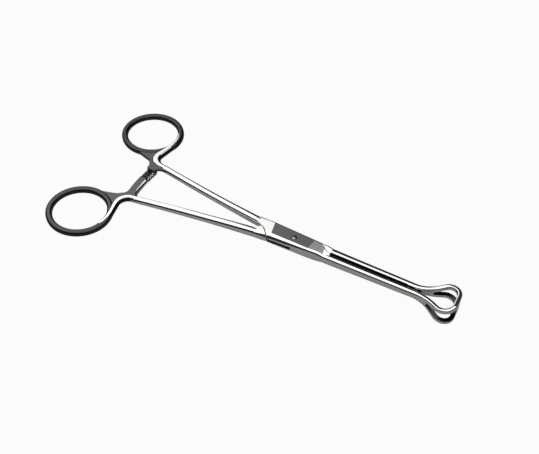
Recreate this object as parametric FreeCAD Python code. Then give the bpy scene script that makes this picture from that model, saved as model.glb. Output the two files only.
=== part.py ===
import FreeCAD, Part
import math
import os
from FreeCAD import Vector

# Babcock tissue forceps, 200 mm long, lying on its side with the jaws closed.
# Two forged halves cross in a box lock and turn on one riveted pin.
# +X runs from the finger rings to the jaw tips, +Y to the ring of the slotted half, +Z up.
# The origin is on the pin's axis, in the flat underside of the box lock. Lengths are in millimetres.

# Reach of the instrument from the pin
jaw_reach = 81.9
ring_centre_back = 102.8
ring_centre_out = 32.3

# Finger rings
ring_hole_wide = 25.8
ring_hole_stretch = 1.8
ring_bar_width = 3.3
ring_end_slim = 0.8
ring_join_front = -12.0
ring_join_rear = 262.0
neck_radius = 4.2
gusset_run = 11.2
gusset_radius = 3.0
handle_thick = 3.0
handle_bevel = 0.9

# Shanks between the rings and the lock, measured across the closed instrument
shank_front_end = 14.0
shank_mid_back = 50.0
shank_mid_out = 7.55
shank_rear_back = 80.0
shank_rear_out = 12.35
shank_rear_width = 3.6
shank_rear_thick = 3.5
shank_mid_width = 3.8
shank_mid_thick = 3.9
shank_front_thick = 5.0
shank_nose_rise = 0.6
shank_inner = 1.4
shank_corner = 0.36
shank_tail = 6.0
shank_tail_slim = 0.4
shank_shares = (0.33, 0.67, 1.0)

# Box lock
box_thick = 6.2
box_rear_back = 20.0
box_rear_half = 5.6
box_front_end = 13.5
box_front_half = 4.0
box_crown = 0.9
lock_flat_rear = 12.5
lock_flat_front = 14.0
lock_rear_thick = 4.8
lock_front_thick = 4.7
cheek_corner_back = 11.8
cheek_crotch_back = 16.0
cheek_crotch_out = 0.5
cheek_corner_front = 16.6
web_thick = 2.4
web_half_width = 2.3
web_lean = 9.5
web_face_gap = 0.06
web_flank_gap = 0.12
shoulder_gap = 0.15
opening_angle = 50.0
opening_margin = 0.5

# Pin
pin_radius = 1.5
pin_running_gap = 0.04
pin_sink = 0.05

# Jaw shanks in front of the lock
jaw_shank_start = 19.0
jaw_shank_start_half = 3.85
jaw_shank_end_half = 3.35
jaw_shank_gap = 0.15
jaw_shank_start_thick = 4.8
jaw_shank_start_cut = 0.9
jaw_shank_end_thick = 3.9

# Jaws
flare_radius = 20.0
ramp_angle = 33.0
crest_radius = 4.6
crest_out = 7.3
jaw_plate = 2.1
jaw_thin_share = 0.6
jaw_tip_width = 10.6
jaw_fan_share = 0.9
jaw_sections = 13
window_start_share = 0.28
window_sections = 9
jaw_tip_gap = 0.05
jaw_edge_cut = 0.4
arm_width = 2.1
grip_band = 2.7
window_least = 0.6
window_reach = 2.4

# Ratchet arms behind the shanks
ratchet_ahead = 15.0
ratchet_arm_width = 5.0
ratchet_arm_thick = 1.55
notch_over = 0.5
notch_end = 1.0
ratchet_tip_gap = 0.05
ratchet_root_out = 11.4
ratchet_lower_tip = 9.8
ratchet_upper_tip = 7.8
root_flare_front = 3.0
root_flare_rear = 2.4
root_sink = 1.4
root_knee_along = 0.25
root_knee_out = 0.65
tooth_pitch = 1.7
tooth_depth = 0.7
tooth_slope_share = 0.85
lower_tooth_count = 4
upper_tooth_count = 2
lower_tooth_shift = 0.6
upper_tooth_shift = 0.15

# Values that follow from the ones above
mid_z = box_thick / 2
ratchet_radius = ring_centre_back - ratchet_ahead
ratchet_inner = ratchet_radius - ratchet_arm_width / 2
ratchet_outer = ratchet_radius + ratchet_arm_width / 2
jaw_line = jaw_reach - jaw_plate / 2
ring_hole_long = ring_hole_wide + ring_hole_stretch
ring_outer_half = ring_hole_wide / 2 + ring_bar_width
ring_end_radius = ring_outer_half - ring_end_slim
oval_run = ring_hole_long / 2 + ring_bar_width - ring_end_radius
oval_excess = ring_outer_half - ring_end_radius
oval_drop = (oval_run ** 2 - oval_excess ** 2) / (2 * oval_excess)
oval_side_radius = ring_outer_half + oval_drop
oval_change = math.atan2(oval_drop, oval_run)
Z = Vector(0, 0, 1)


def side_half(x):
    """Half the width of the closed lock at x, which tapers from the shanks to the jaws."""
    run = (x + box_rear_back) / (box_front_end + box_rear_back)
    return box_rear_half + run * (box_front_half - box_rear_half)


def between(a, b, share):
    return a + (b - a) * share


def face_of(edges):
    return Part.Face(Part.Wire(edges))


def polygon(points, low, high):
    """A prism on straight sides between two heights."""
    ring = [Vector(x, y, low) for x, y in points]
    face = Part.Face(Part.makePolygon(ring + ring[:1]))
    return face.extrude(Vector(0, 0, high - low))


def arc(a, b, c):
    return Part.Arc(Vector(*a, 0), Vector(*b, 0), Vector(*c, 0)).toShape()


def line(a, b):
    return Part.LineSegment(Vector(*a, 0), Vector(*b, 0)).toShape()


def rounded_run(points, radii):
    """Straight edges through the points, with a tangent arc of the given radius at each inner point."""
    edges = []
    start = Vector(*points[0], 0)
    for before, corner, after, radius in zip(points, points[1:], points[2:], radii):
        c = Vector(*corner, 0)
        back = (Vector(*before, 0) - c).normalize()
        on = (Vector(*after, 0) - c).normalize()
        half = back.getAngle(on) / 2
        reach = radius / math.tan(half)
        middle = (back + on).normalize()
        first = c + back * reach
        last = c + on * reach
        knee = c + middle * (radius / math.sin(half) - radius)
        edges.append(Part.LineSegment(start, first).toShape())
        edges.append(Part.Arc(first, knee, last).toShape())
        start = last
    edges.append(Part.LineSegment(start, Vector(*points[-1], 0)).toShape())
    return edges


def bar_section(x, y, turn, across, thick, corner):
    """A rounded rectangle that stands square to a bar running at the angle turn."""
    side = Vector(-math.sin(turn), math.cos(turn), 0)
    mid = Vector(x, y, 0)
    u = across / 2
    v = thick / 2
    r = min(corner, 0.98 * u, 0.98 * v)
    bend = r * (1 - math.sqrt(0.5))

    def at(p, q):
        return mid + side * p + Z * q

    edges = []
    for p, q in ((1, 1), (-1, 1), (-1, -1), (1, -1)):
        rise = at(p * u, q * (v - r))
        top = at(p * (u - r), q * v)
        knee = at(p * (u - bend), q * (v - bend))
        first, last = (rise, top) if p == q else (top, rise)
        edges.append(Part.Arc(first, knee, last).toShape())
        if p == q:
            edges.append(Part.LineSegment(last, at(-p * (u - r), q * v)).toShape())
        else:
            edges.append(Part.LineSegment(last, at(p * u, -q * (v - r))).toShape())
    return Part.Wire(edges)


def plate_section(x, y, turn, across, thick, cut):
    """A rectangle with cut corners that stands square to a plate running at the angle turn."""
    side = Vector(-math.sin(turn), math.cos(turn), 0)
    mid = Vector(x, y, 0)
    u = across / 2
    v = thick / 2
    flat = [(u, v), (-u, v), (-u, -v), (u, -v)]
    if cut > 0:
        w = u - cut
        h = v - cut
        flat = [(u, h), (w, v), (-w, v), (-u, h), (-u, -h), (-w, -v), (w, -v), (u, -h)]
    points = [mid + side * p + Z * q for p, q in flat]
    return Part.makePolygon(points + points[:1])


def loft(sections, straight=False):
    return Part.makeLoft(sections, True, straight)


def mirrored(shape):
    return shape.mirror(Vector(0, 0, 0), Vector(0, 1, 0))


# Shank: a rounded bar that thickens from the handle to the lock
def shank_centre(x):
    """Distance of the shank's centreline from the middle at x, through three named stations."""
    stations = [
        (-shank_rear_back, shank_rear_out),
        (-shank_mid_back, shank_mid_out),
        (-box_rear_back, (box_rear_half + shank_inner) / 2),
    ]
    total = 0.0
    for i, (xi, yi) in enumerate(stations):
        share = yi
        for j, (xj, _) in enumerate(stations):
            if i != j:
                share *= (x - xj) / (xi - xj)
        total += share
    return total


shank_slope = shank_centre(1 - shank_rear_back) - shank_rear_out


def shank():
    front_width = box_rear_half - shank_inner
    stations = [
        (-shank_rear_back - shank_tail, shank_rear_width - shank_tail_slim, handle_thick - shank_tail_slim),
        (-shank_rear_back, shank_rear_width, shank_rear_thick),
    ]
    for share in shank_shares:
        stations.append((
            between(-shank_rear_back, -shank_mid_back, share),
            between(shank_rear_width, shank_mid_width, share),
            between(shank_rear_thick, shank_mid_thick, share),
        ))
    for share in shank_shares:
        stations.append((
            between(-shank_mid_back, -box_rear_back, share),
            between(shank_mid_width, front_width, share),
            between(shank_mid_thick, shank_front_thick, share),
        ))
    stations.append((-shank_front_end, front_width, shank_front_thick + shank_nose_rise))
    sections = []
    for x, across, thick in stations:
        turn = math.atan(shank_centre(x + 0.5) - shank_centre(x - 0.5))
        sections.append(bar_section(x, shank_centre(x), turn, across, thick, shank_corner * across))
    return loft(sections, True)


# Handle: ring, gusset and the root of the ratchet arm, forged flat with every edge broken
def oval_point(angle, shrink=0.0):
    """A point on the ring's outer oval, where its outward normal makes the angle in degrees with +X."""
    a = math.radians(angle)
    c = math.cos(a)
    s = math.sin(a)
    if abs(s) > math.sin(oval_change):
        x = (oval_side_radius - shrink) * c
        y = (oval_side_radius - shrink) * s - math.copysign(oval_drop, s)
    else:
        x = (ring_end_radius - shrink) * c + math.copysign(oval_run, c)
        y = (ring_end_radius - shrink) * s
    return (x - ring_centre_back, y + ring_centre_out)


def oval_edges(start, stop, shrink=0.0):
    """The ring's oval as tangent arcs between two normal angles, counter-clockwise."""
    change = math.degrees(oval_change)
    turns = [change, 180 - change, 180 + change, 360 - change]
    stops = [start] + [turn for turn in turns if start < turn < stop] + [stop]
    edges = []
    for first, last in zip(stops, stops[1:]):
        a, m, b = [oval_point(angle, shrink) for angle in (first, (first + last) / 2, last)]
        edges.append(arc(a, m, b))
    return edges


def handle():
    stub_x = -shank_rear_back
    half = shank_rear_width / 2
    outer_stub = (stub_x, shank_rear_out + half)
    inner_stub = (stub_x, shank_rear_out - half)
    neck_top = oval_point(ring_join_front)
    a = math.radians(ring_join_front)
    rise = neck_top[1] - outer_stub[1] - shank_slope * (neck_top[0] - stub_x)
    run = rise / (math.cos(a) + shank_slope * math.sin(a))
    neck_foot = (neck_top[0] + math.sin(a) * run, neck_top[1] - math.cos(a) * run)
    gusset_start = oval_point(ring_join_rear)
    gusset_fall = gusset_run * math.tan(math.radians(ring_join_rear - 270))
    elbow = (gusset_start[0] + gusset_run, gusset_start[1] + gusset_fall)
    root_x = -ratchet_outer
    root = (root_x, inner_stub[1] + shank_slope * (root_x - stub_x))
    edges = rounded_run([outer_stub, neck_foot, neck_top], [neck_radius])
    edges += oval_edges(ring_join_front, ring_join_rear)
    edges += rounded_run([gusset_start, elbow, root, inner_stub], [gusset_radius, gusset_radius])
    edges.append(line(inner_stub, outer_stub))
    plate = face_of(edges).extrude(Z * handle_thick)
    plate = plate.cut(face_of(oval_edges(0, 360, ring_bar_width)).extrude(Z * handle_thick))
    rims = []
    for edge in plate.Edges:
        box = edge.BoundBox
        at_stub = abs(box.XMin - stub_x) < 0.01 and box.XLength < 0.01
        if box.ZLength < 0.01 and not at_stub:
            rims.append(edge)
    plate = plate.makeChamfer(handle_bevel, rims)
    plate.translate(Z * (-handle_thick / 2))
    return plate


def spot(radius, out):
    """A point at a distance from the pin, out from the middle line, behind the lock."""
    return (-math.sqrt(radius * radius - out * out), out)


def ratchet_arm(tip_out):
    """The flat arm, curved about the pin, with its flared root on the shank of the lower half."""
    foot = -ratchet_root_out - root_sink
    front = spot(ratchet_inner, -ratchet_root_out + root_flare_front)
    rear = spot(ratchet_outer, -ratchet_root_out + root_flare_rear)
    front_foot = (front[0] + root_flare_front, foot)
    rear_foot = (rear[0] - root_flare_rear, foot)
    front_knee = (between(front[0], front_foot[0], root_knee_along), between(front[1], foot, root_knee_out))
    rear_knee = (between(rear[0], rear_foot[0], root_knee_along), between(rear[1], foot, root_knee_out))
    front_tip = spot(ratchet_inner, tip_out)
    rear_tip = spot(ratchet_outer, tip_out)
    edges = [
        arc(front_tip, spot(ratchet_inner, (tip_out + front[1]) / 2), front),
        arc(front, front_knee, front_foot),
        line(front_foot, rear_foot),
        arc(rear_foot, rear_knee, rear),
        arc(rear, spot(ratchet_outer, (tip_out + rear[1]) / 2), rear_tip),
        line(rear_tip, front_tip),
    ]
    return face_of(edges).extrude(Z * ratchet_arm_thick)


def tooth_gap(out, up):
    """The notch in front of one tooth. up is 1 where the teeth look up and -1 where they look down."""
    run = -up * tooth_pitch * tooth_slope_share
    x0 = -ratchet_outer - notch_end
    x1 = -ratchet_inner + notch_end
    tip = up * -ratchet_tip_gap
    deep = tip - up * tooth_depth
    over = tip + up * notch_over
    lift = run * notch_over / tooth_depth
    corners = [(out, over), (out, deep), (out + run + lift, over)]
    ring = [Vector(x0, y, z) for y, z in corners]
    face = Part.Face(Part.makePolygon(ring + ring[:1]))
    return face.extrude(Vector(x1 - x0, 0, 0))


# Jaw: its centreline is a straight shank, a flare, a ramp, the crest of the bow and the leg down to the grip
def jaw_path():
    ramp = math.radians(ramp_angle)
    crest_x = jaw_line - crest_radius
    leg_top = crest_out - crest_radius
    neck_y = (jaw_shank_gap + jaw_shank_end_half) / 2
    ramp_top = (crest_x - crest_radius * math.sin(ramp), leg_top + crest_radius * math.cos(ramp))
    flare_rise = flare_radius * (1 - math.cos(ramp))
    ramp_low_y = neck_y + flare_rise
    ramp_low_x = ramp_top[0] - (ramp_top[1] - ramp_low_y) / math.tan(ramp)
    flare_x = ramp_low_x - flare_radius * math.sin(ramp)
    return {
        "flare": (flare_x, neck_y),
        "ramp_low": (ramp_low_x, ramp_low_y),
        "ramp_top": ramp_top,
        "crest": (crest_x, leg_top),
    }


path = jaw_path()


def on_flare(share):
    turn = math.radians(ramp_angle) * share
    x0, y0 = path["flare"]
    return (x0 + flare_radius * math.sin(turn), y0 + flare_radius * (1 - math.cos(turn)), turn)


def on_ramp(share):
    (x0, y0), (x1, y1) = path["ramp_low"], path["ramp_top"]
    return (x0 + share * (x1 - x0), y0 + share * (y1 - y0), math.radians(ramp_angle))


def on_crest(share):
    turn = math.radians(ramp_angle) - share * math.radians(ramp_angle + 90)
    x0, y0 = path["crest"]
    return (x0 - crest_radius * math.sin(turn), y0 + crest_radius * math.cos(turn), turn)


def on_leg(drop):
    return (jaw_line, path["crest"][1] - drop, -math.pi / 2)


def path_lengths():
    turn = math.radians(ramp_angle)
    ramp_run = (path["ramp_top"][0] - path["ramp_low"][0]) / math.cos(turn)
    crest_run = crest_radius * (turn + math.pi / 2)
    leg_run = path["crest"][1] - jaw_tip_gap
    return (flare_radius * turn, ramp_run, crest_run, leg_run)


def on_path(run):
    """Place and direction on the jaw's centreline at a distance from where the flare starts."""
    flare_run, ramp_run, crest_run, _ = path_lengths()
    if run <= flare_run:
        return on_flare(run / flare_run)
    if run <= flare_run + ramp_run:
        return on_ramp((run - flare_run) / ramp_run)
    if run <= flare_run + ramp_run + crest_run:
        return on_crest((run - flare_run - ramp_run) / crest_run)
    return on_leg(run - flare_run - ramp_run - crest_run)


jaw_run = sum(path_lengths())


def jaw_width(share):
    """Width of the jaw plate along Z, which opens from the shank like a fan."""
    run = min(1.0, share / jaw_fan_share)
    fan = run * run * (3 - 2 * run)
    return jaw_shank_end_thick + (jaw_tip_width - jaw_shank_end_thick) * fan


def jaw_thickness(share):
    root = jaw_shank_end_half - jaw_shank_gap
    left = max(0.0, 1 - share / jaw_thin_share)
    return jaw_plate + (root - jaw_plate) * left * left


def jaw():
    bars = []
    for i in range(jaw_sections):
        share = i / (jaw_sections - 1)
        x, y, turn = on_path(share * jaw_run)
        bars.append(plate_section(x, y, turn, jaw_thickness(share), jaw_width(share), jaw_edge_cut))
    plate = loft(bars)
    first = window_start_share
    last = 1 - grip_band / jaw_run
    windows = []
    for i in range(window_sections):
        share = first + (last - first) * i / (window_sections - 1)
        x, y, turn = on_path(share * jaw_run)
        hole = max(window_least, jaw_width(share) - 2 * arm_width)
        windows.append(plate_section(x, y, turn, window_reach * jaw_thickness(share), hole, 0))
    return plate.cut(loft(windows))


def jaw_shank():
    """The straight bar between the lock and the flare of one jaw, flat on the side of the other half."""
    end_x, end_y, _ = on_path(0.0)
    sections = []
    for share in (0.0, 0.5, 1.0):
        half = between(jaw_shank_start_half, jaw_shank_end_half, share)
        thick = between(jaw_shank_start_thick, jaw_shank_end_thick, share)
        cut = between(jaw_shank_start_cut, jaw_edge_cut, share)
        x = between(jaw_shank_start, end_x, share)
        sections.append(plate_section(x, (jaw_shank_gap + half) / 2, 0, half - jaw_shank_gap, thick, cut))
    return loft(sections, True)


# Lock: the slotted half keeps two cheeks, and the other half a web that runs between them
def lock_outline(grow=0.0):
    """Outline of the slotted half through the lock, with its two slanting shoulders."""
    front_in = -jaw_shank_gap
    return [
        (-box_rear_back, box_rear_half + grow),
        (box_front_end + grow, side_half(box_front_end) + grow),
        (cheek_corner_front + grow, front_in + grow),
        (jaw_shank_start, front_in + grow),
        (jaw_shank_start, -jaw_shank_start_half - grow),
        (-cheek_corner_back - grow, -side_half(-cheek_corner_back) - grow),
        (-cheek_crotch_back - grow, -cheek_crotch_out),
        (-box_rear_back, shank_inner - grow),
    ]


def lock_slab(points):
    """The lock's block: long edges chamfered, flat faces over the pin, thinner towards the shanks."""
    block = polygon(points, -mid_z, mid_z)
    rims = []
    for edge in block.Edges:
        box = edge.BoundBox
        at_rear = box.XLength < 0.01 and abs(box.XMin + box_rear_back) < 0.01
        if box.ZLength < 0.01 and not at_rear:
            rims.append(edge)
    block = block.makeChamfer(box_crown, rims)
    upper = [
        (-box_rear_back, lock_rear_thick / 2),
        (-lock_flat_rear, mid_z),
        (lock_flat_front, mid_z),
        (jaw_shank_start, lock_front_thick / 2),
    ]
    profile = upper + [(x, -z) for x, z in reversed(upper)]
    ring = [Vector(x, -box_thick, z) for x, z in profile]
    face = Part.Face(Part.makePolygon(ring + ring[:1]))
    return block.common(face.extrude(Vector(0, 2 * box_thick, 0)))


def slot_void():
    """Room for the web from closed to fully open: the two bars and the wedges between them."""
    lean = math.radians(web_lean)
    swing = math.radians(opening_angle + opening_margin)
    off = web_half_width + web_flank_gap
    nose = off / math.cos(swing / 2)

    def along(angle, sideways):
        c, s = math.cos(angle), math.sin(angle)
        return (box_rear_back * c - sideways * s, box_rear_back * s + sideways * c)

    middle = lean + swing / 2
    lower_nose = (nose * math.sin(middle), -nose * math.cos(middle))
    upper_nose = (-lower_nose[0], -lower_nose[1])
    closed_front = along(lean, -off)
    open_front = along(lean + swing, off)
    closed_rear = (-closed_front[0], -closed_front[1])
    open_rear = (-open_front[0], -open_front[1])
    points = [lower_nose, closed_front, open_front, upper_nose, closed_rear, open_rear]
    half = web_thick / 2 + web_face_gap
    return polygon(points, -half, half)


def web():
    lean = math.radians(web_lean)
    c, s = math.cos(lean), math.sin(lean)
    reach = jaw_shank_start
    corners = []
    for t, w in ((-reach, -1), (reach, -1), (reach, 1), (-reach, 1)):
        sideways = w * web_half_width
        corners.append((t * c - sideways * s, t * s + sideways * c))
    bar = polygon(corners, -web_thick / 2, web_thick / 2)
    sides = [
        (-box_rear_back, box_rear_half),
        (jaw_shank_start, jaw_shank_start_half),
        (jaw_shank_start, -jaw_shank_start_half),
        (-box_rear_back, -box_rear_half),
    ]
    return bar.common(polygon(sides, -mid_z, mid_z))


def slotted_half():
    lower_jaw = mirrored(jaw().fuse(jaw_shank()))
    upper_arm = mirrored(ratchet_arm(-ratchet_upper_tip))
    upper_arm.translate(Z * ratchet_tip_gap)
    for i in range(upper_tooth_count):
        upper_arm = upper_arm.cut(tooth_gap(ratchet_upper_tip + (i + upper_tooth_shift) * tooth_pitch, -1))
    body = lock_slab(lock_outline())
    for piece in (shank(), handle(), lower_jaw, upper_arm):
        body = body.fuse(piece)
    body = body.cut(slot_void())
    bore = Part.makeCylinder(pin_radius, box_thick, Vector(0, 0, -mid_z))
    return body.cut(bore)


def tongued_half():
    upper_jaw = jaw().fuse(jaw_shank())
    lower_arm = ratchet_arm(ratchet_lower_tip)
    lower_arm.translate(Z * (-ratchet_tip_gap - ratchet_arm_thick))
    for i in range(lower_tooth_count):
        lower_arm = lower_arm.cut(tooth_gap(ratchet_lower_tip - (i + lower_tooth_shift) * tooth_pitch, 1))
    slab = mirrored(lock_slab(lock_outline()))
    cheeks = polygon(lock_outline(shoulder_gap), -box_thick, box_thick)
    body = slab.fuse(mirrored(shank())).fuse(upper_jaw).cut(cheeks)
    for piece in (web(), mirrored(handle()), lower_arm):
        body = body.fuse(piece)
    bore = Part.makeCylinder(pin_radius + pin_running_gap, box_thick, Vector(0, 0, -mid_z))
    return body.cut(bore)


def lock_pin():
    length = box_thick - 2 * pin_sink
    return Part.makeCylinder(pin_radius, length, Vector(0, 0, -length / 2))


os.makedirs("parts", exist_ok=True)
pieces = {
    "female_half": slotted_half(),
    "male_half": tongued_half(),
    "box_lock_pin": lock_pin(),
}
for name, shape in pieces.items():
    shape = shape.removeSplitter()
    shape.translate(Z * mid_z)
    print(name, "solids", len(shape.Solids), "valid", shape.isValid(), "volume", round(shape.Volume, 1))
    print("  box", shape.BoundBox)
    shape.exportStep("parts/" + name + ".step")
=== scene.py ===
import math

import bmesh
import bpy
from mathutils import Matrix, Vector


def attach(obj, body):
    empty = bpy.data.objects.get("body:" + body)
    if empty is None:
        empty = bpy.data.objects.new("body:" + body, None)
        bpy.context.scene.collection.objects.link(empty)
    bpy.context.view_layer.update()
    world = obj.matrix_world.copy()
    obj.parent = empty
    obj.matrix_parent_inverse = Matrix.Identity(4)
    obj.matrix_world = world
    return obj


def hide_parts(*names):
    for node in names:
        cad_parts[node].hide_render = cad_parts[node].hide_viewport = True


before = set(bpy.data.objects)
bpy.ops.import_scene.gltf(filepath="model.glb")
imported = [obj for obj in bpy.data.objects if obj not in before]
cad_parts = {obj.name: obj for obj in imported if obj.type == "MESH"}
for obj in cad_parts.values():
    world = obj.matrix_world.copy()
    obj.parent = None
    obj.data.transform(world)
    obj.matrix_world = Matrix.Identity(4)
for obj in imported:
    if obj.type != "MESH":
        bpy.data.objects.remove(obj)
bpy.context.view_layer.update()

scene = bpy.context.scene


# Camera, at the photograph's distance and angle
# It looks down from the near side of the jaws, with the finger rings at the far left.
scene.view_settings.view_transform = "Standard"
camera_data = bpy.data.cameras.new("camera")
camera_data.sensor_width = 36.0
camera_data.lens = 51.98
camera = bpy.data.objects.new("camera", camera_data)
camera.location = (0.1051, -0.2191, 0.2852)
line_of_sight = Vector((-0.317, 0.5865, -0.7453))
camera.rotation_euler = line_of_sight.to_track_quat("-Z", "Y").to_euler()
scene.collection.objects.link(camera)
scene.camera = camera


# Studio: a sheet of pale paper in a dim room, one softbox overhead and one at the back left
# The camera sees the paper and the room as white, as in the photograph's cut-out background.
# The steel mirrors the grey paper, the softboxes and the dim room, which gives its grey, white and black bands.
def linear(hex_code):
    """An sRGB hex colour as linear red, green and blue with full alpha."""
    parts = [int(hex_code[i:i + 2], 16) / 255 for i in (1, 3, 5)]
    return [c / 12.92 if c <= 0.04045 else ((c + 0.055) / 1.055) ** 2.4 for c in parts] + [1.0]


def node(tree, kind, settings=None, links=None):
    """Adds a node. Settings fill its properties or input sockets, and links join outputs to its inputs."""
    made = tree.nodes.new(kind)
    for name, value in (settings or {}).items():
        if isinstance(name, str) and hasattr(made, name):
            setattr(made, name, value)
        else:
            made.inputs[name].default_value = value
    for name, source in (links or {}).items():
        tree.links.new(source, made.inputs[name])
    return made


def new_tree(owner):
    """Empties the node tree of a material or a world and returns it."""
    owner.use_nodes = True
    owner.node_tree.nodes.clear()
    return owner.node_tree


def white_share(tree, to_camera, to_steel):
    """The share of white over a surface: one for the camera, another for what metal or glass shows of it."""
    rays = node(tree, "ShaderNodeLightPath")
    mirrored = node(tree, "ShaderNodeMath", {"operation": "MAXIMUM"}, {
        0: rays.outputs["Is Glossy Ray"],
        1: rays.outputs["Is Transmission Ray"],
    })
    faint = node(tree, "ShaderNodeMath", {"operation": "MULTIPLY", 1: to_steel}, {0: mirrored.outputs[0]})
    share = node(tree, "ShaderNodeMath", {"operation": "MULTIPLY_ADD", 1: to_camera}, {
        0: rays.outputs["Is Camera Ray"],
        2: faint.outputs[0],
    })
    return share.outputs[0]


def piece_from(mesh, name, materials):
    """Makes an object of a mesh, with the materials in its slots."""
    data = bpy.data.meshes.new(name)
    mesh.to_mesh(data)
    mesh.free()
    for material in materials:
        data.materials.append(material)
    made = bpy.data.objects.new(name, data)
    scene.collection.objects.link(made)
    return made


# The paper keeps a little of its own shade for the camera, and with it the instrument's shadow.
# The steel sees hardly any of the white, because the real one mirrored grey paper and a dark room.
paper = bpy.data.materials.new("pale_studio_paper")
tree = new_tree(paper)
sheet = node(tree, "ShaderNodeBsdfDiffuse", {"Color": linear("#9C9C9A")})
white = node(tree, "ShaderNodeEmission", {"Color": linear("#FFFFFF"), "Strength": 1.0})
seen = node(tree, "ShaderNodeMixShader", None, {
    0: white_share(tree, to_camera=0.96, to_steel=0.1),
    1: sheet.outputs[0],
    2: white.outputs[0],
})
node(tree, "ShaderNodeOutputMaterial", None, {"Surface": seen.outputs[0]})

floor_reach = 1.2
floor_level = -0.0024  # just under the jaws, which are the instrument's lowest point
floor_mesh = bmesh.new()
bmesh.ops.create_grid(floor_mesh, x_segments=1, y_segments=1, size=floor_reach)
bmesh.ops.translate(floor_mesh, vec=(0, 0, floor_level), verts=floor_mesh.verts)
floor = piece_from(floor_mesh, "floor", [paper])

# The room's walls are dim for the steel and white for the camera.
room = bpy.data.worlds.new("dim_room")
scene.world = room
tree = new_tree(room)
walls = node(tree, "ShaderNodeBackground", {"Color": linear("#282828"), "Strength": 1.0})
white = node(tree, "ShaderNodeBackground", {"Color": linear("#FFFFFF"), "Strength": 1.0})
seen = node(tree, "ShaderNodeMixShader", None, {
    0: white_share(tree, to_camera=1.0, to_steel=0.01),
    1: walls.outputs[0],
    2: white.outputs[0],
})
node(tree, "ShaderNodeOutputWorld", None, {"Surface": seen.outputs[0]})


def softbox(name, place, aim, width, height, watts):
    """A rectangular lamp that faces the point aim."""
    lamp = bpy.data.lights.new(name, "AREA")
    lamp.shape = "RECTANGLE"
    lamp.size = width
    lamp.size_y = height
    lamp.energy = watts
    holder = bpy.data.objects.new(name, lamp)
    holder.location = place
    holder.rotation_euler = (Vector(aim) - Vector(place)).to_track_quat("-Z", "Y").to_euler()
    scene.collection.objects.link(holder)


softbox("overhead_softbox", (-0.2, -0.01, 0.6), (-0.2, -0.01, 0.0), width=1.2, height=0.82, watts=5.3)
softbox("left_softbox", (-0.8, 0.62, 0.65), (0.0, 0.0, 0.65), width=0.75, height=1.2, watts=4.0)


# Finger rings, necks and shanks, forged of stainless steel in one with each half
# Each shank is a rounded bar that leaves the lock, bends outwards behind the ratchet and runs into its ring.
# It is polished up to a bright tip on the ring's inner side. The ring and the neck's sides are tumbled, and
# their near-black colour is painted shade and painted dark reflection.
def steel(name, colour, smooth, rough, wave, wave_height, grain, grain_height):
    """Bare steel whose roughness drifts between two values, with waves and a grain on its surface.

    wave and grain are their lengths in millimetres, and the heights are in millimetres too.
    """
    made = bpy.data.materials.new(name)
    tree = new_tree(made)
    where = node(tree, "ShaderNodeTexCoord").outputs["Object"]
    waves = node(tree, "ShaderNodeTexNoise", {"Scale": 1000 / wave, "Detail": 1.0}, {"Vector": where})
    pits = node(tree, "ShaderNodeTexNoise", {"Scale": 1000 / grain, "Detail": 3.0}, {"Vector": where})
    haze = node(tree, "ShaderNodeMapRange", {"To Min": smooth, "To Max": rough}, {"Value": pits.outputs["Fac"]})
    swell = node(tree, "ShaderNodeBump", {"Strength": 0.2, "Distance": wave_height / 1000}, {
        "Height": waves.outputs["Fac"],
    })
    skin = node(tree, "ShaderNodeBump", {"Strength": 0.25, "Distance": grain_height / 1000}, {
        "Height": pits.outputs["Fac"],
        "Normal": swell.outputs["Normal"],
    })
    shader = node(tree, "ShaderNodeBsdfPrincipled", {"Base Color": linear(colour), "Metallic": 1.0}, {
        "Roughness": haze.outputs["Result"],
        "Normal": skin.outputs["Normal"],
    })
    node(tree, "ShaderNodeOutputMaterial", None, {"Surface": shader.outputs[0]})
    return made


# Buffed to a mirror, with faint waves 4 mm long and wipe marks drawn 0.3 mm apart, coarser than the real ones.
polished = steel(
    "mirror_polished_stainless_steel", "#D2D2D0", smooth=0.04, rough=0.12,
    wave=4.0, wave_height=0.06, grain=0.3, grain_height=0.002,
)
# Tumbled, not buffed: rougher, with soft streaks, and its near-black colour is painted shade and painted dark
# reflection. Its marks are drawn 0.4 mm long, coarser than the real ones.
tumbled_painted_dark = steel(
    "tumbled_painted_dark_stainless_steel", "#383A39", smooth=0.14, rough=0.26,
    wave=3.0, wave_height=0.08, grain=0.4, grain_height=0.006,
)

mid_height = 3.1  # the instrument's middle plane over the lock's underside
up = Vector((0, 0, 1))


def bar_loop(mesh, place, turn, across, thick, corner, count):
    """One closed loop of a rounded rectangle, square to a bar that runs at the angle turn in the plane.

    corner is the radius of its corners, or a pair of radii for its right and its left side.
    """
    side = Vector((-math.sin(turn), math.cos(turn), 0))
    right, left = corner if isinstance(corner, tuple) else (corner, corner)
    points = bmesh.ops.create_circle(mesh, segments=count, radius=1.0)["verts"]
    spin = math.pi / count
    for i, v in enumerate(points):
        c = math.cos(2 * math.pi * i / count + spin)
        s = math.sin(2 * math.pi * i / count + spin)
        round_off = right if c < 0 else left
        out = math.copysign(across / 2 - round_off, c) + round_off * c
        rise = math.copysign(thick / 2 - round_off, s) + round_off * s
        v.co = Vector(place) + side * out + up * rise
    return list({e for v in points for e in v.link_edges})


def bar(stations, closed=False, count=24):
    """A solid bar through stations of place, angle, width, thickness and corner radius."""
    mesh = bmesh.new()
    loops = [bar_loop(mesh, *station, count) for station in stations]
    pairs = list(zip(loops, loops[1:]))
    if closed:
        pairs.append((loops[-1], loops[0]))
    for one, two in pairs:
        bmesh.ops.bridge_loops(mesh, edges=one + two)
    if not closed:
        for end in (loops[0], loops[-1]):
            bmesh.ops.contextual_create(mesh, geom=end)
    bmesh.ops.recalc_face_normals(mesh, faces=mesh.faces)
    for face in mesh.faces:
        face.smooth = len(face.verts) == 4
    return mesh


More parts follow.
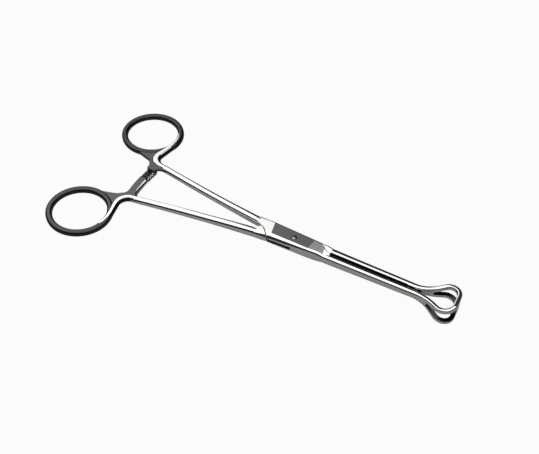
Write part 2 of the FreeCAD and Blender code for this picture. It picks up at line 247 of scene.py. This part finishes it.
def settle(mesh, half):
    """Turns millimetres about the middle plane into the frame's metres; half is 1 for +Y and -1 for -Y."""
    if half < 0:
        bmesh.ops.scale(mesh, vec=(1, -1, 1), verts=mesh.verts)
        bmesh.ops.reverse_faces(mesh, faces=mesh.faces)
    bmesh.ops.translate(mesh, vec=(0, 0, mid_height), verts=mesh.verts)
    bmesh.ops.scale(mesh, vec=(0.001, 0.001, 0.001), verts=mesh.verts)
    return mesh


def ease(share):
    """A share from 0 to 1 that starts and ends softly."""
    share = min(1.0, max(0.0, share))
    return share * share * (3 - 2 * share)


ring_back = 102.8
ring_out = 32.3
ring_hole_long = 27.6
ring_hole_wide = 25.8
ring_bar = 3.3
ring_slim = 0.04  # the bar is drawn this much slimmer, which keeps it inside the CAD's box
ring_thick = 3.0
ring_corner = 1.1
ring_steps = 96
ring_end_radius = 15.4
oval_run = ring_hole_long / 2 + ring_bar - ring_end_radius
oval_excess = ring_hole_wide / 2 + ring_bar - ring_end_radius
oval_drop = (oval_run ** 2 - oval_excess ** 2) / (2 * oval_excess)
oval_side_radius = ring_end_radius + oval_excess + oval_drop


def ring_point(degrees, inside):
    """A point inside the ring's outer oval, where the outward normal has this angle."""
    c = math.cos(math.radians(degrees))
    s = math.sin(math.radians(degrees))
    if abs(s) > math.sin(math.atan2(oval_drop, oval_run)):
        x = (oval_side_radius - inside) * c
        y = (oval_side_radius - inside) * s - math.copysign(oval_drop, s)
    else:
        x = (ring_end_radius - inside) * c + math.copysign(oval_run, c)
        y = (ring_end_radius - inside) * s
    return Vector((x - ring_back, y + ring_out, 0))


def finger_ring():
    """A rounded bar bent once round the oval."""
    stations = []
    for i in range(ring_steps):
        degrees = 360 * i / ring_steps
        place = ring_point(degrees, ring_bar / 2)
        stations.append((place, math.radians(degrees + 90), ring_bar - ring_slim, ring_thick, ring_corner))
    return bar(stations, closed=True)


# Places of the shank's centreline at the rear, midway and at the lock, and its sections there
shank_line = ((-80.0, 12.35), (-50.0, 7.55), (-20.0, 3.5))
shank_widths = (3.55, 3.8, 4.2)
shank_heights = (3.5, 3.9, 4.85)
shank_rear_run = 30.0
shank_front_run = 32.0
shank_front_end = -16.5  # inside the lock
shank_steps = 24
shank_rounding = 0.45
neck_radius = 4.2
neck_width = 3.4
neck_thick = 3.25
neck_thinning = 0.1
neck_steps = 12
neck_rounding = 0.49
neck_broad = 0.3
bend_broad = 0.4
join_width = 3.35
join_thick = 3.1
join_broad = 0.45
join_fading = 0.2
ring_join = -12.0  # degrees round the ring where the neck runs into it


def shank_middle(x):
    """The curve through the three places of the shank's centreline."""
    total = 0.0
    for i, (xi, yi) in enumerate(shank_line):
        for j, (xj, _) in enumerate(shank_line):
            if i != j:
                yi *= (x - xj) / (xi - xj)
        total += yi
    return total


def shank_stations():
    """Stations of the shank from the lock back to its bend."""
    stations = []
    rear_x = shank_line[0][0]
    middle_x = shank_line[1][0]
    for i in range(shank_steps):
        x = shank_front_end - (shank_front_end - rear_x) * i / (shank_steps - 1)
        turn = math.atan(shank_middle(x + 0.5) - shank_middle(x - 0.5))
        front = ease((x - middle_x) / shank_front_run)
        rear = ease((middle_x - x) / shank_rear_run)
        across, thick = (
            middle + (ahead - middle) * front - (middle - behind) * rear
            for behind, middle, ahead in (shank_widths, shank_heights)
        )
        stations.append(((x, shank_middle(x), 0), turn, across, thick, shank_rounding * across))
    return stations


def shouldered(place, turn, across, thick, broad):
    """A station of the neck that is broader on the gusset's side, with its other side left where it is."""
    side = Vector((-math.sin(turn), math.cos(turn), 0))
    return (place + side * broad, turn, across + 2 * broad, thick, neck_rounding * thick)


def neck_stations(swell):
    """Stations of the bend from the shank to the ring; swell is the share of its broadening."""
    stations = []
    start = Vector(shank_line[0] + (0,))
    goal = ring_point(ring_join, ring_bar / 2)
    slope = math.atan(shank_middle(start.x + 0.5) - shank_middle(start.x - 0.5))
    back = Vector((-math.cos(slope), -math.sin(slope), 0))
    join = math.radians(ring_join)
    rise = Vector((-math.sin(join), math.cos(join), 0))
    gap = goal - start
    corner = start + back * ((rise.x * gap.y - rise.y * gap.x) / (rise.x * back.y - rise.y * back.x))
    bend = back.angle(rise)
    radius = neck_radius + ring_bar / 2
    first = corner - back * (radius * math.tan(bend / 2))
    heading = math.atan2(back.y, back.x)
    centre = first + Vector((back.y, -back.x, 0)) * radius
    arm = first - centre
    for share in (0.35, 0.7, 1.0):
        place = start.lerp(first, share)
        across = shank_widths[0] + (neck_width - shank_widths[0]) * share
        thick = shank_heights[0] + (neck_thick - shank_heights[0]) * share
        stations.append(shouldered(place, heading, across, thick, neck_broad * swell * share))
    for i in range(1, neck_steps + 1):
        share = i / neck_steps
        c = math.cos(-bend * share)
        s = math.sin(-bend * share)
        place = centre + Vector((arm.x * c - arm.y * s, arm.x * s + arm.y * c, 0))
        broad = swell * (neck_broad + bend_broad * math.sin(math.pi * i / (neck_steps + 2)))
        thick = neck_thick - neck_thinning * share
        stations.append(shouldered(place, heading - bend * share, neck_width, thick, broad))
    for share in (0.35, 0.7):
        broad = swell * (join_broad - join_fading * share)
        stations.append(shouldered(place.lerp(goal, share), heading - bend, join_width, join_thick, broad))
    return stations


# The bright tip's stations: degrees from the join, width, depth of its inner edge in the oval, thickness
tip_line = (
    (0, 3.4, 3.5, 3.1),
    (10, 3.0, 3.5, 3.09),
    (20, 2.6, 3.45, 3.08),
    (28, 2.2, 3.4, 3.07),
    (36, 1.7, 3.35, 3.06),
    (46, 0.9, 3.1, 1.9),
)
short_tip = 0.65  # the shortest tip, as a share of the longest
tip_rounding = 1.5


def tip_stations(swell):
    """Stations of the bright tip that runs out along the ring's inner side; a full swell makes it longer."""
    stations = []
    for along, wide, inner, thick in tip_line:
        degrees = ring_join + along * (short_tip + (1 - short_tip) * swell)
        place = ring_point(degrees, inner - wide / 2)
        rounding = min(tip_rounding, neck_rounding * wide)
        stations.append((place, math.radians(degrees + 90), wide, thick, rounding))
    return stations


# Behind this X only the top of the neck and of its tip keeps the polished steel, where their normals are this
# upright; the sides get the tumbled steel's painted shade.
painted_dark_behind = -84
buffed_upright = 0.93

# Each half's name, its side, its body and how far its neck swells towards the gusset
halves = (("upper", 1, "slotted_half", 1.0), ("lower", -1, "tongued_half", 0.2))
for name, half, body, swell in halves:
    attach(piece_from(settle(finger_ring(), half), name + "_finger_ring", [tumbled_painted_dark]), body)
    shank = bar(shank_stations() + neck_stations(swell) + tip_stations(swell))
    # The sides there get the darker tumbled steel: painted shade chosen by which way the faces point.
    for face in shank.faces:
        if face.calc_center_median().x < painted_dark_behind and face.normal.z < buffed_upright:
            face.material_index = 1
    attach(piece_from(settle(shank, half), name + "_shank", [polished, tumbled_painted_dark]), body)


# Gussets, the flat webs of the forging between the ring, the neck and the root of the ratchet arm
# Each is thinner than the bars around it and stays blasted, since the buffing wheel doesn't reach it. Its
# darker colour is painted shade, where it lies sunk between the bars.
# Its pits of 0.05 mm are drawn 0.25 mm wide so that they show.
painted_shade_satin = steel(
    "painted_shade_satin_stainless_steel", "#4E5150", smooth=0.3, rough=0.42,
    wave=4.0, wave_height=0.03, grain=0.25, grain_height=0.008,
)

gusset_half_thick = 1.15
gusset_edge = 0.3
gusset_under_ring = 1.4
gusset_ring_side = range(262, 343, 8)  # degrees round the ring
gusset_arm_side = [(-85.3, 12.0), (-90.3, 12.3), (-91.3, 12.9), (-92.6, 14.0), (-94.6, 14.8)]


def plate(outline, low, high):
    """A straight-sided block between two heights over the middle plane, from its outline."""
    mesh = bmesh.new()
    face = mesh.faces.new([mesh.verts.new((x, y, low)) for x, y in outline])
    grown = bmesh.ops.extrude_face_region(mesh, geom=[face])["geom"]
    top = [v for v in grown if isinstance(v, bmesh.types.BMVert)]
    bmesh.ops.translate(mesh, vec=up * (high - low), verts=top)
    bmesh.ops.recalc_face_normals(mesh, faces=mesh.faces)
    return mesh


def gusset():
    """The web's outline along the ring, the neck and the arm's root, with its edges eased."""
    ring_side = [ring_point(degrees, gusset_under_ring) for degrees in gusset_ring_side]
    neck_side = [station[0] for station in neck_stations(0.0)[1:]]
    outline = [(p.x, p.y) for p in ring_side + neck_side[::-1]] + gusset_arm_side
    mesh = plate(outline, -gusset_half_thick, gusset_half_thick)
    rims = [e for e in mesh.edges if abs(e.verts[0].co.z - e.verts[1].co.z) < 0.01]
    bmesh.ops.bevel(
        mesh, geom=rims, offset=gusset_edge, offset_type="OFFSET", segments=3, profile=0.5,
        affect="EDGES", material=-1,
    )
    return mesh


for name, half, body, swell in halves:
    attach(piece_from(settle(gusset(), half), name + "_gusset", [painted_shade_satin]), body)


# Ratchet arms, forged with the halves, that pass one above the other behind the shanks
# The lower half's arm is long and its teeth look up; the upper half's arm is short and its teeth look down.
# The arms carry the gussets' painted shade. The lower arm's upper front edge is rounded and polished, and its
# teeth are satin.

# Blasted with glass beads: an even grey. The pits of 0.05 mm are drawn 0.2 mm wide so that they show.
satin = steel(
    "satin_blasted_stainless_steel", "#646563", smooth=0.34, rough=0.46,
    wave=6.0, wave_height=0.02, grain=0.2, grain_height=0.008,
)

arm_radius = 87.8  # the arms' middle line, round the pin
arm_half_width = 2.5
arm_root = -12.9
arm_steps = 14
arm_back = -1.6
arm_face = -0.05
arm_edge_radius = 1.5
# A quarter circle in four steps, as shares of its radius
quarter = ((1.0, 0.0), (0.6, 0.09), (0.29, 0.29), (0.09, 0.6), (0.0, 1.0))
root_flare_start = -7.8
root_flare_run = 5.0
root_flare_inwards = 3.4
root_flare_outwards = 2.6
tooth_pitch = 1.7
tooth_slope = 0.85
tooth_depth = 0.7
tooth_wall_foot = 0.03  # the upright side of a tooth leans back by this at its foot
tooth_wall_tip = 0.01


def arm_loop(mesh, angle, inner, outer, face, face_rounded):
    """One closed section of an arm; its rounded corner is next to its toothed face or to its back."""
    soft = [(inner + across * arm_edge_radius, down * arm_edge_radius) for across, down in quarter]
    if face_rounded:
        rounded = [(radius, face - fall) for radius, fall in soft]
        corners = [(outer, arm_back), (outer, face)] + rounded + [(inner, arm_back)]
    else:
        rounded = [(radius, arm_back + fall) for radius, fall in soft]
        corners = [(outer, face), (outer, arm_back)] + rounded + [(inner, face)]
    points = bmesh.ops.create_circle(mesh, segments=len(corners), radius=1.0)["verts"]
    for v, (radius, z) in zip(points, corners):
        v.co = Vector((-radius * math.cos(angle), radius * math.sin(angle), z))
    return list({e for v in points for e in v.link_edges})


def ratchet_arm(tip_out, teeth, shift, teeth_up):
    """An arm from its root on the -Y side out to tip_out, with its toothed face at the middle plane."""
    plain = tip_out - (teeth - 1 + shift + tooth_slope) * tooth_pitch
    marks = [(arm_root + (plain - arm_root) * i / arm_steps, 0.0) for i in range(arm_steps)]
    for i in reversed(range(teeth)):
        wall = tip_out - (i + shift) * tooth_pitch
        marks.append((wall - tooth_slope * tooth_pitch, 0.0))
        marks += [(wall - tooth_wall_foot, tooth_depth), (wall + tooth_wall_tip, 0.0)]
    marks.append((tip_out, 0.0))
    mesh = bmesh.new()
    loops = []
    for out, cut in marks:
        flare = ease((root_flare_start - out) / root_flare_run) ** 2
        inner = arm_radius - arm_half_width - root_flare_inwards * flare
        outer = arm_radius + arm_half_width + root_flare_outwards * flare
        loops.append(arm_loop(mesh, math.asin(out / arm_radius), inner, outer, arm_face - cut, teeth_up))
    for one, two in zip(loops, loops[1:]):
        bmesh.ops.bridge_loops(mesh, edges=one + two)
    for end in (loops[0], loops[-1]):
        bmesh.ops.contextual_create(mesh, geom=end)
    bmesh.ops.recalc_face_normals(mesh, faces=mesh.faces)
    if not teeth_up:
        bmesh.ops.scale(mesh, vec=(1, 1, -1), verts=mesh.verts)
        bmesh.ops.reverse_faces(mesh, faces=mesh.faces)
    mesh.normal_update()
    for face in mesh.faces:
        ahead, aside, above = face.normal
        face.smooth = ahead > 0.1 and above > 0.1 and abs(aside) < 0.4
        if teeth_up and ahead > 0.1 and above > 0.05:
            face.material_index = 1
        elif abs(aside) > 0.3 and above > 0.5 or aside < -0.9:
            face.material_index = 2
    return mesh


for name, half, body, arm in (
    ("lower_ratchet_arm", 1, "tongued_half", ratchet_arm(tip_out=9.8, teeth=4, shift=0.6, teeth_up=True)),
    ("upper_ratchet_arm", -1, "slotted_half", ratchet_arm(tip_out=-7.8, teeth=2, shift=0.15, teeth_up=False)),
):
    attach(piece_from(settle(arm, half), name, [painted_shade_satin, polished, satin]), body)


# Root fillet, a thin web in the corner between the upper ratchet arm's front edge and its shank
# It is forged with the slotted half, and its dark colour is painted shade in that corner.
fillet_front = -79.0
fillet_run = 6.3
fillet_side = 7.9
fillet_rise = 2.75
fillet_low = 0.05
fillet_high = 1.4
fillet_steps = 8
fillet = [(-86.0, 8.0)]
for i in range(fillet_steps + 1):
    angle = math.pi / 2 * i / fillet_steps
    fillet.append((fillet_front - fillet_run * math.cos(angle), fillet_side + fillet_rise * math.sin(angle)))
fillet += [(fillet_front, 11.6), (-86.0, 12.0)]
fillet_mesh = plate(fillet, fillet_low, fillet_high)
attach(piece_from(settle(fillet_mesh, 1), "upper_root_fillet", [painted_shade_satin]), "slotted_half")


# Box lock, milled out of both forgings: two cheeks of the slotted half, the tongued half's web between them
# and its shoulders behind and in front. The flats are satin, and a lighter satin at their front end.
# The long edges are rounded and the ends slope down to the bars, all polished.

# A lighter grey over the front end of the flats. The grain of 0.05 mm is drawn 0.25 mm wide so that it shows.
lighter = steel(
    "light_satin_stainless_steel", "#959593", smooth=0.36, rough=0.44,
    wave=5.0, wave_height=0.02, grain=0.25, grain_height=0.006,
)

lock_thick = 6.2
lock_rear = -21.0
lock_run = 40.0
lock_steps = 42
lock_half_width = ((-20.0, 5.6), (13.5, 4.0), (19.0, 3.75))
lock_near_radius = ((-21.0, 1.8), (-12.0, 3.0), (9.0, 1.6), (19.0, 1.6))
lock_far_radius = 1.3
# Lines across the lock's flats, each a place and the direction that counts as past it
satin_start = (Vector((-11.6, 0, 0)), Vector((8.6, 1.8, 0)))
lighter_start = (Vector((8.9, 0, 0)), Vector((1, -0.14, 0)))
satin_end = (Vector((15.8, 0, 0)), Vector((1, 0.15, 0)))
lighter_edge = (Vector((0, -2.0, 0)), Vector((0.03, 1, 0)))
# The ends slope down by these shares of the thickness over these runs, and begin along slanting lines.
rear_slope = 0.23
rear_slope_run = 8.0
rear_slant = 0.209  # along X for each millimetre across
front_slope = 0.24
front_slope_start = 14.5
front_slope_run = 4.0
front_slant = 0.5
cut_height = 5  # more than the lock's half thickness

web_lean = math.radians(9.5)
web_half_width = 2.3
web_reach = 17.5
web_far_bend = 14.5  # the web's far side keeps clear of the lock's rounded side in front of this place
web_far_side = 1.4
web_far_end = 0.6
web_half_height = 0.85
slot_half_height = 0.9
slot_gap = 0.12
slot_reach = 20
swing = math.radians(50.5)  # the hinge's 50 degrees and a little room

pin_radius = 1.5
cheek_bore_gap = 0.02
web_bore_gap = 0.04


def cut_by(made, operation, *cutters):
    """Applies exact Boolean cuts by other meshes in order, and keeps the edges of the cuts crisp."""
    for mesh in cutters:
        tool = piece_from(mesh, "cutter", [polished])
        step = made.modifiers.new("cut", "BOOLEAN")
        step.operation = operation
        step.solver = "EXACT"
        step.object = tool
        bpy.context.view_layer.update()
        evaluated = made.evaluated_get(bpy.context.evaluated_depsgraph_get())
        shaped = bpy.data.meshes.new_from_object(evaluated)
        made.modifiers.clear()
        made.data = shaped
        bpy.data.objects.remove(tool)
    crisp = bmesh.new()
    crisp.from_mesh(made.data)
    for edge in crisp.edges:
        faces = edge.link_faces
        same_finish = len(faces) == 2 and faces[0].material_index == faces[1].material_index
        edge.smooth = same_finish and edge.calc_face_angle(0.0) < 0.6
    crisp.to_mesh(made.data)
    crisp.free()


def past(point, line):
    """Whether a point lies beyond one of the lines across the flats."""
    place, direction = line
    return (point - place).dot(direction) > 0


def size_at(x, line):
    """A size at x, on the straight runs between pairs of a place and a size."""
    for (x0, size0), (x1, size1) in zip(line, line[1:]):
        if x < x1:
            break
    return size0 + (size1 - size0) * (x - x0) / (x1 - x0)


def lock_envelope():
    """The closed lock's outer shape from shanks to jaws, with satin flats."""
    stations = []
    for i in range(lock_steps):
        x = lock_rear + lock_run * i / (lock_steps - 1)
        radii = (size_at(x, lock_near_radius), lock_far_radius)
        stations.append(((x, 0, 0), 0.0, 2 * size_at(x, lock_half_width), lock_thick, radii))
    mesh = bar(stations, count=40)
    for place, direction in (satin_start, lighter_start, satin_end, lighter_edge):
        everything = mesh.verts[:] + mesh.edges[:] + mesh.faces[:]
        bmesh.ops.bisect_plane(mesh, geom=everything, plane_co=place, plane_no=direction)
    mesh.normal_update()
    for face in mesh.faces:
        middle = face.calc_center_median()
        if abs(face.normal.z) > 0.999 and past(middle, satin_start) and not past(middle, satin_end):
            face.material_index = 1
            if past(middle, lighter_start):
                face.material_index = 2 if past(middle, lighter_edge) else 0
    for v in mesh.verts:
        rear = max(0.0, (satin_start[0].x - rear_slant * v.co.y - v.co.x) / rear_slope_run)
        front = min(1.0, max(0.0, (v.co.x - front_slant * v.co.y - front_slope_start) / front_slope_run))
        v.co.z *= 1 - rear_slope * rear - front_slope * front
    return settle(mesh, 1)


def slot_void():
    """Room for the web from closed to fully open round the pin."""
    off = web_half_width + slot_gap
    nose = off / math.cos(swing / 2)
    middle = web_lean + swing / 2
    wide = web_lean + swing
    lower = (nose * math.sin(middle), -nose * math.cos(middle))
    closed = (
        slot_reach * math.cos(web_lean) + off * math.sin(web_lean),
        slot_reach * math.sin(web_lean) - off * math.cos(web_lean),
    )
    opened = (
        slot_reach * math.cos(wide) - off * math.sin(wide),
        slot_reach * math.sin(wide) + off * math.cos(wide),
    )
    ahead = [lower, closed, opened]
    return settle(plate(ahead + [(-x, -y) for x, y in ahead], -slot_half_height, slot_half_height), 1)


def bore(radius):
    """A long cylinder round the pin's axis."""
    mesh = bmesh.new()
    bmesh.ops.create_cone(mesh, cap_ends=True, segments=64, radius1=radius, radius2=radius, depth=8)
    return settle(mesh, 1)


def web_outline():
    """The tongue through the slot, kept inside the lock's sides."""
    c = math.cos(web_lean)
    s = math.sin(web_lean)
    side = (web_half_width * s, -web_half_width * c)
    rear = (-web_reach * c, -web_reach * s)
    front = (web_reach * c, web_reach * s)
    return [
        (rear[0] + side[0], rear[1] + side[1]),
        (front[0] + side[0], front[1] + side[1]),
        (front[0], front[1] + web_far_end),
        (web_far_bend * c - side[0], web_far_bend * s + web_far_side),
        (-side[0], -side[1]),
        (rear[0] - side[0], rear[1] - side[1]),
    ]


cheek_outline = [
    (-22.0, 7.0), (12.15, 7.0), (13.45, 3.55), (14.45, 1.9), (15.6, 0.75), (17.1, -0.05), (18.6, -0.25),
    (20.0, -0.25), (20.0, -6.0), (-11.1, -6.0), (-11.8, -5.21), (-16.0, -0.5), (-17.15, -0.02), (-22.0, 2.35),
]
rear_shoulder = [
    (-22.0, -7.0), (-22.0, -2.45), (-17.5, -0.3), (-16.4, -0.85), (-12.2, -5.6), (-11.6, -6.1), (-11.6, -7.0),
]
front_shoulder = [
    (12.6, 7.0), (13.85, 3.68), (14.82, 2.1), (15.9, 1.02), (17.25, 0.25), (18.6, 0.0), (18.6, 0.15),
    (20.0, 0.15), (20.0, 7.0),
]

cheeks = piece_from(lock_envelope(), "lock_cheeks", [polished, satin, lighter])
cut_by(cheeks, "INTERSECT", settle(plate(cheek_outline, -cut_height, cut_height), 1))
cut_by(cheeks, "DIFFERENCE", slot_void(), bore(pin_radius + cheek_bore_gap))
cheeks.modifiers.new("even_shading", "WEIGHTED_NORMAL").keep_sharp = True
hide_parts("female_half")
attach(cheeks, "slotted_half")
for name, outline in (("rear_shoulder", rear_shoulder), ("front_shoulder", front_shoulder)):
    shoulder = piece_from(lock_envelope(), name, [polished, polished, polished])
    cut_by(shoulder, "INTERSECT", settle(plate(outline, -cut_height, cut_height), 1))
    shoulder.modifiers.new("even_shading", "WEIGHTED_NORMAL").keep_sharp = True
    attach(shoulder, "tongued_half")
web = piece_from(settle(plate(web_outline(), -web_half_height, web_half_height), 1), "lock_web", [satin])
cut_by(web, "DIFFERENCE", bore(pin_radius + web_bore_gap))
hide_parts("male_half")
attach(web, "tongued_half")


# Lock pin, a steel rivet through both cheeks, with low domed heads
# The heads stand hardly proud of the satin cheeks and catch a small bright glint.
pin_length = 6.1
# Each ring of a head: its width, and how far what lies inside it stands out
head_steps = ((0.75, 0.0), (0.2, 0.04), (0.25, 0.03))
# The polished ring lies between these radii.
glint_inner = 0.3
glint_outer = 0.5
pin_mesh = bmesh.new()
bmesh.ops.create_cone(
    pin_mesh, cap_ends=True, segments=64, radius1=pin_radius, radius2=pin_radius, depth=pin_length,
)
for face in [f for f in pin_mesh.faces if len(f.verts) > 4]:
    for inset, lift in head_steps:
        bmesh.ops.inset_region(pin_mesh, faces=[face], thickness=inset)
        bmesh.ops.translate(pin_mesh, vec=face.normal * lift, verts=face.verts)
for face in pin_mesh.faces:
    on_head = abs(face.normal.z) > 0.5
    face.smooth = on_head
    glints = on_head and glint_inner < face.calc_center_median().xy.length < glint_outer
    face.material_index = 1 if glints else 0
pin = piece_from(settle(pin_mesh, 1), "riveted_pin", [satin, polished])
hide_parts("box_lock_pin")
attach(pin, "slotted_half")


# Jaws, forged with the halves: each front shank flares into a fan-shaped bowed plate with a window
# The plate turns over at its crest and comes back in to a straight smooth grip.
# Its outside is polished. The shanks' inner sides and the windows' walls are in the tumbled steel, whose dark
# colour is painted shade there.
jaw_reach = 81.9
jaw_out = 7.3
grip_width = 10.6
grip_gap = 0.05
grip_corner = 0.75
plate_thick = 2.1
root_extra = 1.1  # the plate is this much thicker where the flare starts
thinning_share = 0.6
fan_share = 0.9
flare_radius = 20.0
ramp = math.radians(33.0)
crest_radius = 4.6

bar_start = 17.5  # inside the lock
bar_taper_start = 19.0
bar_inner = 0.15  # from the plane between the halves
bar_outer = 3.35
bar_thick = 3.9
bar_corner = 1.25
lock_end_extra = 0.5  # the bar is this much wider at the lock
lock_end_thick = 4.8
lock_end_corner = 1.35
bar_steps = 16
fan_steps = 56

window_start = 0.33  # as a share of the way from the flare to the grip
window_end = 2.7  # from the grip
window_frame = 4.2  # both sides of the frame together
window_least = 0.6
window_corner = 0.25
window_depth = 2.4  # times the plate's thickness
window_steps = 41

# In metres, as on the finished mesh: the strip of painted shade on a shank's inner side narrows to nothing from
# strip_start, and a window's walls, also painted shade, are the flat faces in front of walls_start that aren't
# the grip's face.
strip_start = 0.052
strip_run = 0.014
strip_slope = 0.35
walls_start = 0.03
grip_face = 0.001

plate_line = jaw_reach - plate_thick / 2
crest_x = plate_line - crest_radius
leg_top = jaw_out - crest_radius
neck_out = (bar_inner + bar_outer) / 2
ramp_low_y = neck_out + flare_radius * (1 - math.cos(ramp))
ramp_top_y = leg_top + crest_radius * math.cos(ramp)
ramp_low_x = crest_x - crest_radius * math.sin(ramp) - (ramp_top_y - ramp_low_y) / math.tan(ramp)
flare_x = ramp_low_x - flare_radius * math.sin(ramp)
ramp_run = (ramp_top_y - ramp_low_y) / math.sin(ramp)
runs = (flare_radius * ramp, ramp_run, crest_radius * (ramp + math.pi / 2), leg_top - grip_gap)
jaw_run = sum(runs)


def jaw_place(share):
    """Place and angle on the plate's middle line, from the start of the flare to the grip."""
    run = share * jaw_run
    if run < runs[0]:
        turn = run / flare_radius
        x = flare_x + flare_radius * math.sin(turn)
        y = neck_out + flare_radius * (1 - math.cos(turn))
        return Vector((x, y, 0)), turn
    run -= runs[0]
    if run < runs[1]:
        return Vector((ramp_low_x + run * math.cos(ramp), ramp_low_y + run * math.sin(ramp), 0)), ramp
    run -= runs[1]
    if run < runs[2]:
        turn = ramp - run / crest_radius
        x = crest_x - crest_radius * math.sin(turn)
        y = leg_top + crest_radius * math.cos(turn)
        return Vector((x, y, 0)), turn
    run -= runs[2]
    return Vector((plate_line, leg_top - run, 0)), -math.pi / 2


def jaw_width(share):
    """The plate's width from its lower to its upper edge, which fans out towards the grip."""
    return bar_thick + (grip_width - bar_thick) * ease(share / fan_share)


def jaw_thickness(share):
    """The plate's own thickness, thicker at its root."""
    left = max(0.0, 1 - share / thinning_share)
    return plate_thick + root_extra * left * left


def front_half():
    """The bar from the lock to the flare, and the fan and its bow up to the grip."""
    stations = []
    for i in range(bar_steps):
        x = bar_start + (flare_x - bar_start) * i / (bar_steps - 1)
        taper = max(0.0, (x - bar_taper_start) / (flare_x - bar_taper_start))
        outer = bar_outer + lock_end_extra * (1 - taper)
        thick = lock_end_thick - (lock_end_thick - bar_thick) * taper
        corner = lock_end_corner - (lock_end_corner - bar_corner) * taper
        stations.append(((x, (bar_inner + outer) / 2, 0), 0.0, outer - bar_inner, thick, corner))
    for i in range(1, fan_steps + 1):
        share = i / fan_steps
        place, turn = jaw_place(share)
        corner = bar_corner - (bar_corner - grip_corner) * ease(share * 2)
        stations.append((place, turn, jaw_thickness(share), jaw_width(share), corner))
    return bar(stations, count=32)


def window_cutter():
    """A bar along the plate's middle line that takes the window out of it."""
    stations = []
    for i in range(window_steps):
        share = window_start + (1 - window_end / jaw_run - window_start) * i / (window_steps - 1)
        place, turn = jaw_place(share)
        hole = max(window_least, jaw_width(share) - window_frame)
        stations.append((place, turn, window_depth * jaw_thickness(share), hole, window_corner))
    mesh = bar(stations)
    for face in mesh.faces:
        face.smooth = False
    return mesh


for name, half, body in (("upper_jaw", 1, "tongued_half"), ("lower_jaw", -1, "slotted_half")):
    jaw = piece_from(settle(front_half(), half), name, [polished, tumbled_painted_dark])
    cut_by(jaw, "DIFFERENCE", settle(window_cutter(), half))
    # The inner sides and the window walls get the darker tumbled steel, which is painted shade.
    for face in jaw.data.polygons:
        narrowing = ease((face.center.x - strip_start) / strip_run)
        inwards = -half * face.normal.y > strip_slope + (1 - strip_slope) * narrowing
        inner_side = inwards and abs(face.normal.z) < 0.9
        window_wall = not face.use_smooth and face.center.x > walls_start and abs(face.center.y) > grip_face
        if window_wall or inner_side:
            face.material_index = 1
    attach(jaw, body)
